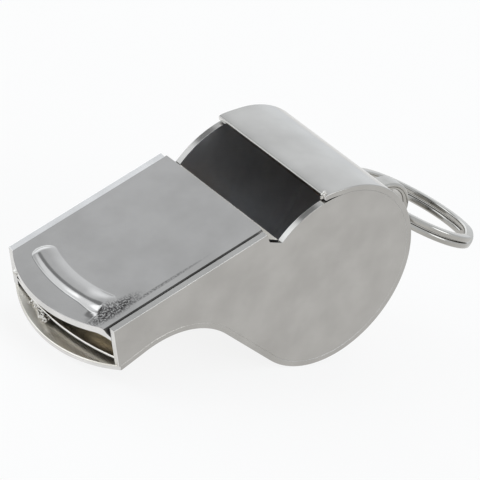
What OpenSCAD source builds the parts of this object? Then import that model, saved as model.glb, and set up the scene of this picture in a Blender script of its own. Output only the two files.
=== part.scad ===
// Pea whistle of nickel-plated brass sheet, with a lanyard loop and a split ring.
// The pieces are drawn in the whistle's own frame: x runs back from the mouth's corners,
// z = 0 is the outer face of the top plate, and y = 0 is the middle of the width.
// rest_pose() then tips the whistle onto its lower lip and its barrel, as it stands on a table.

/* [Body] */
// Width over the outer faces of the side plates
body_w = 20; // [16:0.5:26]
// Thickness of each side plate
side_t = 0.8; // [0.5:0.05:1.2]
// Thickness of the strip that is wrapped round the side plates
strip_t = 0.75; // [0.5:0.05:1.1]
// Outer radius of the barrel
barrel_r = 12.35; // [11.5:0.05:13.5]
// Height of the barrel's crown above the top plate's face
crown_rise = 0.05; // [0:0.05:0.3]

/* [Mouthpiece] */
// Height of the mouth at its corners, over the top plate and the strip
mouth_h = 6.5; // [5.8:0.05:7.2]
// Slope of the mouthpiece's underside, rising towards the neck
under_a = 7.6; // [5:0.1:9]
// Where the underside begins to curve down into the neck
neck_x = 4; // [3:0.1:6]
// Radius of the hollow curve of the neck
neck_r = 11.9; // [10:0.1:14]
// Length of the straight flank between the neck and the barrel
flank_l = 10.06; // [7:0.02:12]
// Radius of the bowed front edges, seen from above
mouth_arc_r = 18; // [14:0.5:30]
// How far the lips' tips stand in front of the mouth's corners
mouth_bow = 2.9; // [2:0.1:4]

/* [Top plate] */
// Thickness of the top plate
top_t = 1; // [0.6:0.05:1.2]
// Distance between the top plate's rear edge and the tip of the windway floor
slot_l = 1.65; // [1:0.05:2.4]
// Depth of the plate's bent-down edges
flange_h = 1.55; // [1.3:0.05:2]
// Outer radius of the bends along the plate's edges
fold_r = 0.9; // [0.4:0.05:1.2]

/* [Bite ridge] */
// Distance of the ridge's middle behind the plate's tip
ridge_back = 4.1; // [3.5:0.1:6]
// Width of the pressed ridge
ridge_w = 2.7; // [2:0.1:3.2]
// Height of the pressed ridge
ridge_h = 0.7; // [0.4:0.05:1]
// Radius of the ridge's path, seen from above
ridge_arc_r = 20; // [17:0.5:30]
// Distance between the centres of the ridge's round ends
ridge_span = 11.6; // [8:0.1:12]

/* [Windway floor] */
// Thickness of the windway floor
floor_t = 0.6; // [0.4:0.05:0.9]
// Depth of the windway floor's face below the top plate's face, at the mouth
floor_drop = 4.6; // [4:0.05:4.8]
// Depth of the same face at the window
slot_drop = 2.5; // [2:0.05:2.8]
// How far the floor's front edge lies behind the lips' tips
floor_back = 1.7; // [1:0.1:3]
// Radius of the floor's bowed front edge
floor_arc_r = 36; // [24:1:60]

/* [Window] */
// How far the side plates' straight top edges end in front of the top plate's rear edge
notch_lead = 0.35; // [0:0.05:1]
// Depth of the notch's steep front flank
notch_h = 1.35; // [0.8:0.05:1.8]
// Length of that flank's set-back
notch_run = 0.25; // [0:0.05:0.5]
// Angle round the barrel's axis at which the notch meets the chamber
notch_a = 123.5; // [121:0.5:127]
// Angle round the barrel's axis at which the strip's edge ends
edge_a = 88; // [84:0.5:90]

/* [Lanyard loop] */
// Width of the loop's strip
loop_w = 2.2; // [1.6:0.1:4]
// Thickness of the loop's strip
loop_t = 0.85; // [0.6:0.05:1.2]
// Outer height of the loop
loop_h = 8; // [7:0.1:9]
// How far the loop stands out from the barrel
loop_reach = 7.7; // [7:0.1:9.5]
// Slope of the loop's axis below the line of the top plate
loop_a = 20.5; // [10:0.1:30]

/* [Split ring] */
// Outer radius of the split ring
ring_r = 8.5; // [7.5:0.1:12]
// Width of the ring's wire, across the ring
wire_w = 1.16; // [1:0.02:1.6]
// Thickness of one coil
wire_t = 0.76; // [0.5:0.02:0.8]
// Gap between the two coils
coil_gap = 0.1; // [0.06:0.02:0.3]
// Running clearance between the wire and the loop's upper leg
ring_clear = 0.25; // [0.2:0.05:0.5]
// How far the wire in the loop lies behind the barrel
ring_seat_l = 2.15; // [1.6:0.05:4]
// Angle at which the ring lies below the loop's axis
ring_drop_a = 23.6; // [0:0.1:60]

/* [Cork ball] */
// Diameter of the cork ball
pea_d = 10.4; // [8:0.1:12]
// Gap left between the ball and the chamber's wall
pea_gap = 0.1; // [0.05:0.05:0.3]

/* [Hidden] */
$fn = 96;

// Points of the side view are [x, z].
function dir(a) = [cos(a), sin(a)];
function under_z(x) = x * tan(under_a) - mouth_h;

inner_w = body_w - 2 * side_t;
chamber_r = barrel_r - strip_t;
lip_tip = [-mouth_bow, under_z(-mouth_bow)];

// The neck's hollow arc is tangent to the underside. A straight flank joins it to the barrel, and
// so places the barrel's axis.
neck_top = [neck_x, under_z(neck_x)];
neck_c = neck_top - neck_r * dir(90 + under_a);
barrel_z = crown_rise - barrel_r;
link_l = norm([neck_r + barrel_r, flank_l]);
barrel_c = [neck_c[0] + sqrt(link_l * link_l - pow(barrel_z - neck_c[1], 2)), barrel_z];
flank_a = asin((barrel_z - neck_c[1]) / link_l) + atan(flank_l / (neck_r + barrel_r));
long = barrel_c[0] + 2 * barrel_r;

// The windway floor meets the chamber at its tip, and the window's front is placed from there.
floor_tip = barrel_c + chamber_r * dir(notch_a);
top_end = floor_tip[0] - slot_l;
notch_x = top_end - notch_lead;

// The loop, the ring and the point that the ring swings about, under the loop's upper leg.
wire_reach = norm([wire_w, 2 * wire_t + coil_gap]) / 2;
pivot_rise = loop_h / 2 - loop_t - wire_reach - ring_clear;
pivot = barrel_c + (barrel_r + ring_seat_l) * dir(-loop_a) + pivot_rise * dir(90 - loop_a);
ring_a = -loop_a - ring_drop_a;
ring_mid_r = ring_r - wire_w / 2;
ring_c = pivot + ring_mid_r * dir(ring_a);

// At rest the lower lip's tip and the barrel stand on the ground.
lip_to_axis = barrel_c - lip_tip;
pitch = asin(barrel_r / norm(lip_to_axis)) - atan2(lip_to_axis[1], lip_to_axis[0]);
function rest(p) = [p[0] * cos(pitch) - p[1] * sin(pitch), p[0] * sin(pitch) + p[1] * cos(pitch)];
ring_rest_a = ring_a + pitch;
front_x = rest([-mouth_bow, 0])[0];
rear_x = rest(ring_c)[0] + ring_r * cos(ring_rest_a) + (wire_t + coil_gap / 2) * abs(sin(ring_rest_a));
ground_z = rest(lip_tip)[1];

module rest_pose() {
    translate([-(front_x + rear_x) / 2, 0, -ground_z])
        rotate([0, -pitch, 0])
            children();
}

// Stands a side view [x, z] up and gives it a width along y, centred on y = mid.
module across(w, mid = 0) {
    translate([0, mid + w / 2, 0])
        rotate([90, 0, 0])
            linear_extrude(height = w)
                children();
}

// Part of a disc of radius r between the angles a0 and a1.
module slice(r, a0, a1) {
    steps = ceil((a1 - a0) / 60);
    intersection() {
        circle(r = r);
        polygon(concat([[0, 0]], [for (i = [0:steps]) 2 * r * dir(a0 + (a1 - a0) * i / steps)]));
    }
}

// Part of a flat ring between two radii and two angles.
module arc_band(r_in, r_out, a0, a1) {
    difference() {
        slice(r_out, a0, a1);
        circle(r = r_in);
    }
}

// Everything in front of a bowed edge with its tip at x = tip.
module bow_cutter(r, tip) {
    translate([tip + r, 0, -long])
        difference() {
            translate([-r - long, -body_w, 0])
                cube([r + long - body_w / 2, 2 * body_w, 2 * long]);
            translate([0, 0, -1])
                cylinder(r = r, h = 2 * long + 2);
        }
}

// Side view of the closed body, drawn a distance d inside the strip's outer face. The straight
// flank and the underside run on into the curves by lap, so that they cross and don't just touch.
lap = 0.02;
module body_outline(d, front, top) {
    neck_d = neck_r + d - lap;
    shoulder = [notch_x + notch_run, top - notch_h];
    difference() {
        union() {
            translate(barrel_c)
                circle(r = barrel_r - d);
            polygon([
                [front, under_z(front) + d / cos(under_a)], neck_c + neck_d * dir(90 + under_a), neck_c,
                neck_c + neck_d * dir(flank_a), barrel_c - (barrel_r - d - lap) * dir(flank_a), barrel_c,
                floor_tip + (floor_tip - shoulder) / 4, shoulder, [notch_x, top], [front, top]
            ]);
        }
        translate(neck_c)
            circle(r = neck_r + d);
    }
}

module side_plate(side) {
    across(side_t, side * (body_w - side_t) / 2)
        body_outline(strip_t, 0, 0);
}

module right_side_plate() {
    color([0.78, 0.78, 0.77])
        rest_pose()
            side_plate(-1);
}

module left_side_plate() {
    color([0.78, 0.78, 0.77])
        rest_pose()
            side_plate(1);
}

// The strip runs from the lower lip, round the neck and the barrel, to the window's rear edge.
module strip_outline() {
    front = -mouth_bow - body_w / 4;
    difference() {
        body_outline(0, front, 0);
        body_outline(strip_t, front - 1, 1);
        translate(barrel_c)
            slice(2 * barrel_r, edge_a, (notch_a + 180) / 2);
    }
}

module barrel_strip() {
    color([0.82, 0.82, 0.82])
        rest_pose()
            difference() {
                across(body_w)
                    strip_outline();
                bow_cutter(mouth_arc_r, -mouth_bow);
            }
}

// Cross section of the top plate, with its edges bent down inside the side plates.
module plate_section() {
    half = inner_w / 2;
    difference() {
        union() {
            translate([-half + fold_r, -flange_h])
                square([inner_w - 2 * fold_r, flange_h]);
            translate([-half, -flange_h])
                square([inner_w, flange_h - fold_r]);
            for (s = [-1, 1])
                translate([s * (half - fold_r), -fold_r])
                    circle(r = fold_r);
        }
        translate([-half + top_t, -2 * flange_h])
            square([inner_w - 2 * top_t, 2 * flange_h - top_t]);
    }
}

// A bead of round section that follows the ridge's path and has round ends.
// Its section rises ridge_h above the plate over a width of ridge_w, less the given thickness.
module ridge_bead(less) {
    section_r = (ridge_w * ridge_w / 4 + ridge_h * ridge_h) / (2 * ridge_h);
    r = section_r - less;
    half_a = asin(ridge_span / 2 / ridge_arc_r);
    translate([ridge_back - mouth_bow + ridge_arc_r, 0, ridge_h - section_r]) {
        rotate([0, 0, 180 - half_a])
            rotate_extrude(angle = 2 * half_a)
                translate([ridge_arc_r, 0])
                    circle(r = r);
        for (s = [-1, 1])
            rotate([0, 0, 180 + s * half_a])
                translate([ridge_arc_r, 0, 0])
                    sphere(r = r);
    }
}

module top_plate() {
    front = -mouth_bow - top_t;
    color([0.72, 0.72, 0.71])
        rest_pose()
            difference() {
                union() {
                    translate([front, 0, 0])
                        rotate([90, 0, 90])
                            linear_extrude(height = top_end - front)
                                plate_section();
                    intersection() {
                        ridge_bead(0);
                        translate([-mouth_bow, -inner_w / 2, -top_t / 2])
                            cube([top_end, inner_w, 2 * ridge_w]);
                    }
                }
                ridge_bead(top_t);
                bow_cutter(mouth_arc_r, -mouth_bow);
            }
}

// The floor slopes up to the window and then curls down round the chamber, onto the strip.
module floor_outline() {
    front = -mouth_bow;
    slope = (floor_drop - slot_drop) / floor_tip[0];
    rear = floor_tip[0] + floor_t;
    seat_a = flank_a + 180 - acos(chamber_r / (chamber_r + floor_t));
    difference() {
        union() {
            polygon([
                [front, front * slope - floor_drop - floor_t], [rear, rear * slope - floor_drop - floor_t],
                [rear, rear * slope - floor_drop], [front, front * slope - floor_drop]
            ]);
            translate(barrel_c)
                arc_band(chamber_r / 2, chamber_r + floor_t, notch_a, seat_a);
        }
        translate(barrel_c)
            circle(r = chamber_r);
    }
}

module windway_floor() {
    color([0.7, 0.7, 0.69])
        rest_pose()
            difference() {
                across(inner_w)
                    floor_outline();
                bow_cutter(floor_arc_r, floor_back - mouth_bow);
            }
}

// A narrow strip bent into an eye, with its two ends brazed to the back of the barrel.
module loop_outline() {
    difference() {
        translate(barrel_c)
            rotate(-loop_a)
                difference() {
                    loop_half(loop_h / 2, barrel_r + loop_reach);
                    loop_half(loop_h / 2 - loop_t, barrel_r + loop_reach - loop_t);
                }
        translate(barrel_c)
            circle(r = barrel_r);
    }
}

// A tongue of half height r that ends round at the distance far from the barrel's axis.
module loop_half(r, far) {
    translate([0, -r])
        square([far - r, 2 * r]);
    translate([far - r, 0])
        circle(r = r);
}

module lanyard_loop() {
    color([0.75, 0.75, 0.73])
        rest_pose()
            across(loop_w)
                loop_outline();
}

// The ring's wire makes nearly two flat turns, with one step between the two levels.
ring_steps = 96;
ring_turn_a = 655;
step_start_a = 300;
step_end_a = 352;
coil_pitch = wire_t + coil_gap;
section_n = 12;

function ease(u) = u < 0 ? 0 : u > 1 ? 1 : u * u * (3 - 2 * u);
function wire_level(a) = coil_pitch * (ease((a - step_start_a) / (step_end_a - step_start_a)) - 0.5);

// The wire's section is flat on both faces with rounded edges, drawn as a squared-off oval.
function squared(v, p) = sign(v) * pow(abs(v), p);
wire_section = [for (i = [0:section_n - 1])
    let (a = 360 * (i + 0.5) / section_n)
    [squared(cos(a), 0.55) * wire_w / 2, squared(sin(a), 0.55) * wire_t / 2]];

module ring_wire() {
    points = [for (i = [0:ring_steps], p = wire_section)
        let (a = ring_turn_a * i / ring_steps, r = ring_mid_r + p[0])
        [r * cos(a), r * sin(a), wire_level(a) + p[1]]];
    sides = [for (i = [0:ring_steps - 1], j = [0:section_n - 1])
        let (k = (j + 1) % section_n)
        [i * section_n + j, (i + 1) * section_n + j, (i + 1) * section_n + k, i * section_n + k]];
    start = [for (j = [0:section_n - 1]) j];
    end = [for (j = [section_n - 1:-1:0]) ring_steps * section_n + j];
    polyhedron(points = points, faces = concat(sides, [start, end]), convexity = 10);
}

module split_ring() {
    color([0.7, 0.7, 0.68])
        rest_pose()
            translate([ring_c[0], 0, ring_c[1]])
                rotate([0, -ring_a, 0])
                    ring_wire();
}

// The ball lies at the bottom of the chamber as the whistle stands.
module cork_pea() {
    drop = chamber_r - pea_d / 2 - pea_gap;
    color([0.72, 0.53, 0.34])
        rest_pose()
            translate([barrel_c[0] - drop * sin(pitch), 0, barrel_c[1] - drop * cos(pitch)])
                sphere(d = pea_d);
}

right_side_plate();
left_side_plate();
barrel_strip();
top_plate();
windway_floor();
lanyard_loop();
split_ring();
cork_pea();
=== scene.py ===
# %% [markdown]
# # A pea whistle in nickel-plated brass
# The real whistle is soldered together from bent sheet, polished, and plated with nickel. Its
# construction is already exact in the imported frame, so this lesson only gives it its looks: sheets
# with rounded edges, a pressed bite ridge, a coiled split ring, solder beads, and the plating.

# %% The frame
import math
import random

import bmesh
import bpy
from mathutils import Matrix, Quaternion, Vector, noise


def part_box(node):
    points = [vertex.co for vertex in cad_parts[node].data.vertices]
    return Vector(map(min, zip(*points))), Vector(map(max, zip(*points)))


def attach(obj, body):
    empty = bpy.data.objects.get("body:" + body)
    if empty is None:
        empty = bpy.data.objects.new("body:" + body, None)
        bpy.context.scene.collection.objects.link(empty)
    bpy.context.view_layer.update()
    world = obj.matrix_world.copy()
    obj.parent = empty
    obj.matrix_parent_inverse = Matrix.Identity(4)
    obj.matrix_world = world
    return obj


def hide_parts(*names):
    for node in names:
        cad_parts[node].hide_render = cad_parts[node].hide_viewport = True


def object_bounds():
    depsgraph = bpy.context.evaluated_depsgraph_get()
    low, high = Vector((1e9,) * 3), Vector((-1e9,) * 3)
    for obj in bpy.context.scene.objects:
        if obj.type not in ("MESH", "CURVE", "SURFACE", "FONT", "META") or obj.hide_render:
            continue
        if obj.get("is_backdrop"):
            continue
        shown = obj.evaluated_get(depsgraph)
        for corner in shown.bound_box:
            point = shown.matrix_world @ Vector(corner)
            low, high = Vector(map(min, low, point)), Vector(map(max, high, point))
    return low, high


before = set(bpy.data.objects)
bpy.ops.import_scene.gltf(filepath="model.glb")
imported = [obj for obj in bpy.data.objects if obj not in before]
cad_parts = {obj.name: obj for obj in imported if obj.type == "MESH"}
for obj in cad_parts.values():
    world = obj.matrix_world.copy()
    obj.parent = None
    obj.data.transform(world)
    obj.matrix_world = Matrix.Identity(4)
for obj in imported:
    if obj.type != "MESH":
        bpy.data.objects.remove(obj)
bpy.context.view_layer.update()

# %% [markdown]
# ## The camera
# The photograph was taken from far away with a long lens, which is why its parallel edges hardly
# run together. The camera turns round a point inside the whistle, so its place is told as two
# angles, a distance and a roll. It could be dragged into place by eye, but these four can be read and
# changed one at a time.

# %% Camera
MM = 0.001
SENSOR_W = 36
LENS = 459.85
AIM = Vector((-3.42, 0, 12.08)) * MM
DISTANCE = 726.5 * MM
AZIMUTH = math.radians(-48.85)
ELEVATION = math.radians(22.71)
ROLL = math.radians(19.14)


def direction(azimuth, elevation):
    flat = math.cos(elevation)
    return Vector((math.sin(azimuth) * flat, -math.cos(azimuth) * flat, math.sin(elevation)))


camera_data = bpy.data.cameras.new("camera")
camera_data.sensor_width = SENSOR_W
camera_data.lens = LENS
camera = bpy.data.objects.new("camera", camera_data)
back = direction(AZIMUTH, ELEVATION)
camera.location = AIM + back * DISTANCE
camera.rotation_mode = "QUATERNION"
camera.rotation_quaternion = (-back).to_track_quat("-Z", "Y") @ Quaternion((0, 0, 1), ROLL)
bpy.context.scene.collection.objects.link(camera)
bpy.context.scene.camera = camera
bpy.context.scene.view_settings.view_transform = "Standard"
print("camera at", [round(v, 4) for v in camera.location])

# %% [markdown]
# ## The side view
# Every sheet of the whistle follows one side view, drawn in millimetres with x back from the
# mouth's corners and z = 0 on the top plate's face. The underside slopes into a hollow neck, and a
# straight flank joins the neck to the barrel. Each sheet could be drawn by itself, but sheets that
# share one drawing still meet when a size changes. One matrix then tips the drawing onto its lip
# and barrel, as the frame stands.

# %% Driving sizes, in millimetres
BODY_W = 20
SIDE_T = 0.8
STRIP_T = 0.75
BARREL_R = 12.35
CROWN_RISE = 0.05
MOUTH_H = 6.5
UNDER_A = 7.6
NECK_X = 4
NECK_R = 11.9
FLANK_L = 10.06
MOUTH_ARC_R = 18
MOUTH_BOW = 2.9
FLOOR_TIP_A = 123.5
STRIP_END_A = 88
INNER_HALF = BODY_W / 2 - SIDE_T
CHAMBER_R = BARREL_R - STRIP_T


def unit(angle):
    return Vector((math.cos(math.radians(angle)), math.sin(math.radians(angle))))


def under_z(x):
    return x * math.tan(math.radians(UNDER_A)) - MOUTH_H


neck_top = Vector((NECK_X, under_z(NECK_X)))
neck_c = neck_top - NECK_R * unit(90 + UNDER_A)
barrel_z = CROWN_RISE - BARREL_R
link = math.hypot(NECK_R + BARREL_R, FLANK_L)
barrel_c = Vector((neck_c.x + math.sqrt(link ** 2 - (barrel_z - neck_c.y) ** 2), barrel_z))
flank_a = math.degrees(
    math.asin((barrel_z - neck_c.y) / link) + math.atan(FLANK_L / (NECK_R + BARREL_R)))
floor_tip = barrel_c + CHAMBER_R * unit(FLOOR_TIP_A)
lip_tip = Vector((-MOUTH_BOW, under_z(-MOUTH_BOW)))
print("in the side view: barrel axis at %.2f, %.2f, flank at %.1f degrees" % (*barrel_c, flank_a))

# %% The whistle's own frame, set down in the row's frame
lip_to_axis = barrel_c - lip_tip
pitch = math.asin(BARREL_R / lip_to_axis.length) - math.atan2(lip_to_axis.y, lip_to_axis.x)
tip_up = Matrix.Rotation(-pitch, 4, "Y")
strip_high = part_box("barrel_strip")[1]
turned_lip = tip_up @ Vector((lip_tip.x, 0, lip_tip.y))
turned_back = (tip_up @ Vector((barrel_c.x, 0, barrel_c.y))).x + BARREL_R
shift = Vector((strip_high.x / MM - turned_back, 0, -turned_lip.z))
TO_ROW = Matrix.Scale(MM, 4) @ Matrix.Translation(shift) @ tip_up
print("pitch %.3f degrees, barrel axis at" % math.degrees(pitch),
      [round(v / MM, 3) for v in TO_ROW @ Vector((barrel_c.x, 0, barrel_c.y))])

# %% [markdown]
# ## Sheets with rounded edges
# A polished sheet never has a knife edge: the buffing wheel rounds it, and that round is what draws
# the bright lines along every edge. Sheets cut out of blocks would have ragged faces along their
# cuts. So each sheet is a closed loft through side-view loops, whose even rows bevel cleanly, and
# its edges carry weights that a Bevel modifier turns into radii.

# %% Arcs and lofts
ARC_STEP = 3


def arc(centre, radius, start, end):
    """Points of an arc in the side view, its ends included."""
    count = max(2, math.ceil(abs(end - start) / ARC_STEP))
    return [centre + radius * unit(start + (end - start) * i / count) for i in range(count + 1)]


def bow_x(y, radius, tip):
    """Where a bowed front edge lies at the width y."""
    return tip + radius - math.sqrt(radius * radius - y * y)


# Finishes by their place in a piece's list of materials. The top plate has painted seam shade in fourth
# place.
BUFFED, UNBUFFED, CUT, CHAMBER, SATIN = range(5)
SEAM_SHADE = CHAMBER


def loft(loops, flat_caps=False, finishes=None, cap_finish=BUFFED, rims=({}, {}), along=None):
    """A closed mesh through loops of points. finishes gives the loop edges that aren't buffed, rims the
    bevel weights of the first and the last loop's edges, and along those of the lengthwise edges."""
    mesh = bmesh.new()
    weight = mesh.edges.layers.float.new("bevel_weight_edge")
    rows = [[mesh.verts.new(p) for p in loop] for loop in loops]
    count = len(rows[0])
    for a, b in zip(rows, rows[1:]):
        for i in range(count):
            j = (i + 1) % count
            face = mesh.faces.new((a[i], a[j], b[j], b[i]))
            face.material_index = (finishes or {}).get(i, BUFFED)
    for row, rim in zip((rows[0], rows[-1]), rims):
        if flat_caps:
            caps = [mesh.faces.new(row)]
        else:
            caps = [mesh.faces.new((row[i], row[i + 1], row[count - 2 - i], row[count - 1 - i]))
                    for i in range(count // 2 - 1)]
        for face in caps:
            face.material_index = cap_finish
        for i, w in rim.items():
            mesh.edges.get((row[i], row[(i + 1) % count]))[weight] = w
    for i, w in (along or {}).items():
        for a, b in zip(rows, rows[1:]):
            mesh.edges.get((a[i], b[i]))[weight] = w
    bmesh.ops.recalc_face_normals(mesh, faces=mesh.faces)
    return mesh


def stand(point, y):
    return Vector((point[0], y, point[1]))


# %% Finishing a piece
def new_object(name, data):
    piece = bpy.data.objects.new(name, data)
    bpy.context.scene.collection.objects.link(piece)
    return piece


def smooth_object(name, mesh, materials):
    """An object from a finished bmesh, shaded smooth, with its materials."""
    data = bpy.data.meshes.new(name)
    mesh.to_mesh(data)
    mesh.free()
    for material in materials:
        data.materials.append(material)
    for polygon in data.polygons:
        polygon.use_smooth = True
    return new_object(name, data)


def round_edges(piece, radius):
    """Rounds the weighted edges: a weight of one gives the whole radius."""
    bevel = piece.modifiers.new("rounded edges", "BEVEL")
    bevel.limit_method = "WEIGHT"
    bevel.width = radius
    bevel.segments = 3
    bevel.harden_normals = True


def finish_piece(name, mesh, body, node, materials, radius=0.0):
    """Rounds a mesh drawn in the whistle's frame and hands it over."""
    piece = smooth_object(name, mesh, materials)
    if radius:
        round_edges(piece, radius)
    return settle(piece, body, node)


def settle(piece, body, node, place=TO_ROW):
    """Turns a piece's modifiers into plain mesh, puts its place into that mesh, and has the piece ride
    on a body and stand for a node of the construction."""
    graph = bpy.context.evaluated_depsgraph_get()
    made = bpy.data.meshes.new_from_object(
        piece.evaluated_get(graph), preserve_all_data_layers=True, depsgraph=graph
    )
    piece.modifiers.clear()
    piece.data = made
    made.name = piece.name
    made.transform(place)
    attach(piece, body)
    if node:
        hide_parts(node)
    print(piece.name, len(made.polygons), "faces")
    return piece


# %% [markdown]
# ## Colours and nodes
# Colours are written as sRGB hex values, the way a colour picker shows them, and one function turns
# them to the linear numbers that shaders use. One more function adds a node with its settings and
# links, for shaders and for Geometry Nodes alike.

# %% Helpers for nodes
def linear(hex_code):
    values = [int(hex_code[i:i + 2], 16) / 255 for i in (1, 3, 5)]
    return tuple(v / 12.92 if v <= 0.04045 else ((v + 0.055) / 1.055) ** 2.4 for v in values) + (1,)


def add(tree, kind, inputs=(), **settings):
    """Adds a node. inputs gives its sockets by name or in order, as values, sockets to link from, or nodes
    that stand for their first output."""
    node = tree.nodes.new(kind)
    for name, value in settings.items():
        setattr(node, name, value)
    by_key = inputs if isinstance(inputs, dict) else dict(enumerate(inputs))
    for key, value in by_key.items():
        if isinstance(value, bpy.types.Node):
            value = value.outputs[0]
        if isinstance(value, bpy.types.NodeSocket):
            tree.links.new(value, node.inputs[key])
        else:
            node.inputs[key].default_value = value
    return node


def new_material(name):
    material = bpy.data.materials.new(name)
    material.use_nodes = True
    material.node_tree.nodes.clear()
    return material, material.node_tree


# %% [markdown]
# ## Bright nickel plate
# Nickel is a slightly warm grey metal. Plated over buffed brass it is bright but not a mirror: the
# buffing leaves a very low waviness, a few millimetres wide, and a haze of fine lines that blurs
# what it reflects. A picture of polished metal could be wrapped round each sheet, but a noise that
# fills space needs no wrapping, and its sizes are real millimetres. One function also paints shade
# onto the sheet in dark, grainy, pitted patches.

# %% Painted shade in grainy patches
# The painted shade is broken up by a grain, drawn coarser than specks under a tenth of a millimetre.
GRAIN_MM = 0.22
PIT_MM = 0.05
PAINTED_SHADE = "#3C3B3A"


def painted_shade_and_pits(tree, place, marks, colour, normal):
    """Paints shade onto the plate in soft-edged patches, broken up by grain and pits. marks lists each
    one's middle and reach in mm and its strength."""
    fade = 0.0
    for middle, reach, strength in marks:
        local = add(tree, "ShaderNodeMapping",
                    {"Vector": place, "Location": [v * MM for v in middle], "Scale": [v * MM for v in reach]},
                    vector_type="TEXTURE")
        far = add(tree, "ShaderNodeVectorMath", [local], operation="LENGTH")
        spot = add(tree, "ShaderNodeMapRange",
                   {"Value": far.outputs["Value"], "From Min": 0.3, "From Max": 1.0, "To Min": strength,
                    "To Max": 0.0}, interpolation_type="SMOOTHSTEP")
        fade = add(tree, "ShaderNodeMath", [fade, spot], operation="MAXIMUM")
    grain = add(tree, "ShaderNodeTexNoise", {"Vector": place, "Scale": 1 / (GRAIN_MM * MM), "Detail": 2})
    pits = add(tree, "ShaderNodeMapRange",
               {"Value": grain.outputs["Fac"], "From Min": 0.38, "From Max": 0.56, "To Min": 0.0,
                "To Max": fade})
    # The plate's colour turns to the dark painted shade where the grain lets it.
    painted_dark = add(tree, "ShaderNodeMix", {"Factor": pits.outputs[0], "A": colour, "B": linear(PAINTED_SHADE)},
                  data_type="RGBA")
    pitted = add(tree, "ShaderNodeBump",
                 {"Height": grain.outputs["Fac"], "Distance": PIT_MM * MM, "Strength": fade,
                  "Normal": normal})
    return painted_dark.outputs["Result"], pitted.outputs[0]


# %% Nickel plate
HAZE_MM = 5
SMEAR = (0.03, 1, 1)


def nickel(name, bright, dull, rough_low, rough_high, wave_mm, wave_depth, line_mm, marks=()):
    """Plated metal whose tone and blur drift from place to place, over low waves of the given width and
    depth in mm. Real buffing lines are hundredths of a millimetre wide, too fine to show, so they are
    drawn line_mm wide."""
    material, tree = new_material(name)
    place = add(tree, "ShaderNodeTexCoord").outputs["Object"]
    haze = add(tree, "ShaderNodeTexNoise", {"Vector": place, "Scale": 1 / (HAZE_MM * MM), "Detail": 3})
    wave = add(tree, "ShaderNodeTexNoise", {"Vector": place, "Scale": 1 / (wave_mm * MM), "Detail": 1})
    smeared = add(tree, "ShaderNodeMapping", {"Vector": place, "Scale": SMEAR})
    lines = add(tree, "ShaderNodeTexNoise",
                {"Vector": smeared.outputs[0], "Scale": 1 / (line_mm * MM), "Detail": 2})
    cloud = add(tree, "ShaderNodeMapRange",
                {"Value": haze.outputs["Fac"], "From Min": 0.35, "From Max": 0.65})
    tone = add(tree, "ShaderNodeMix", {"Factor": cloud.outputs[0], "A": linear(dull), "B": linear(bright)},
               data_type="RGBA")
    blur = add(tree, "ShaderNodeMath", [haze, lines], operation="MULTIPLY")
    rough = add(tree, "ShaderNodeMapRange",
                {"Value": blur.outputs[0], "From Min": 0.1, "From Max": 0.45, "To Min": rough_low,
                 "To Max": rough_high})
    bump = add(tree, "ShaderNodeBump",
               {"Height": wave.outputs["Fac"], "Distance": wave_depth * MM, "Strength": 1.0})
    colour, normal = tone.outputs["Result"], bump.outputs[0]
    if marks:
        colour, normal = painted_shade_and_pits(tree, place, marks, colour, normal)
    shader = add(tree, "ShaderNodeBsdfPrincipled",
                 {"Base Color": colour, "Metallic": 1.0, "Roughness": rough.outputs[0], "Normal": normal})
    add(tree, "ShaderNodeOutputMaterial", {"Surface": shader.outputs[0]})
    return material


# %% [markdown]
# ## One plating, nine finishes
# The whole whistle goes through one nickel bath, and what lies under the nickel makes some of the
# difference; the rest is painted light and shade, pale on the edges, the solder and the insides, dark in
# the seam. Nine shaders could be built one by one, but here each finish is the same function with
# its own tone, blur and waves, so that all of them still look like one metal.

# %% Finishes on the outside
def row_place(x, y, z):
    """A point of the whistle's own frame as millimetres of the row's frame."""
    return TO_ROW @ Vector((x, y, z)) / MM


# Nickel over buffed brass gives soft grey reflections that drift a little across the sheet.
plate_outside = nickel("nickel_plate_buffed", "#B2B0AC", "#A9A7A3", 0.08, 0.2, 4.0, 0.006, 0.12)

# On the top plate, shade is painted as dark grain by the ridge's near end and along the near seam.
PAINTED_SHADE_BY_RIDGE_END = (row_place(2.2, -7.1, 0), (4.4, 1.4, 20), 1.0)
# The band along the near seam is painted shade as well, just before the plate bends down.
PAINTED_SHADE_BY_SEAM = (row_place(7.5, -7.75, 0), (9.0, 0.3, 20), 0.6)
plate_with_painted_shade = nickel("nickel_plate_with_painted_shade", "#B0AEAB", "#A7A5A2", 0.08, 0.2, 4.0, 0.006, 0.12,
                       marks=[PAINTED_SHADE_BY_RIDGE_END, PAINTED_SHADE_BY_SEAM])

# Sheared edges are rough, and painted pale as a highlight that catches light from anywhere: they outline
# every sheet.
plate_cut = nickel("nickel_plate_on_cut_edges_painted_bright", "#E6E5E3", "#D4D3D1", 0.15, 0.3, 0.8, 0.01, 0.1)

# Drawn stock, the ring's steel wire and the loop's strip, is smooth and a shade darker than the sheets.
plate_wire = nickel("nickel_plate_on_spring_steel", "#B2B0AB", "#A3A19C", 0.1, 0.2, 1.5, 0.006, 0.1)

# Solder melts into small beads, painted pale as a highlight, whose tight curves show the whole tent at once.
solder = nickel("soft_solder_under_nickel_painted_bright", "#DEDCD8", "#BCB9B2", 0.1, 0.22, 0.5, 0.02, 0.2)

# Down in the seam the metal is painted nearly as dark as a gap: painted shade in the shaded crevice.
seam_painted_shade = nickel("nickel_plate_painted_shade_in_the_seam", "#5E5C59", "#4C4A47", 0.3, 0.45, 1.0, 0.01, 0.1)

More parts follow.
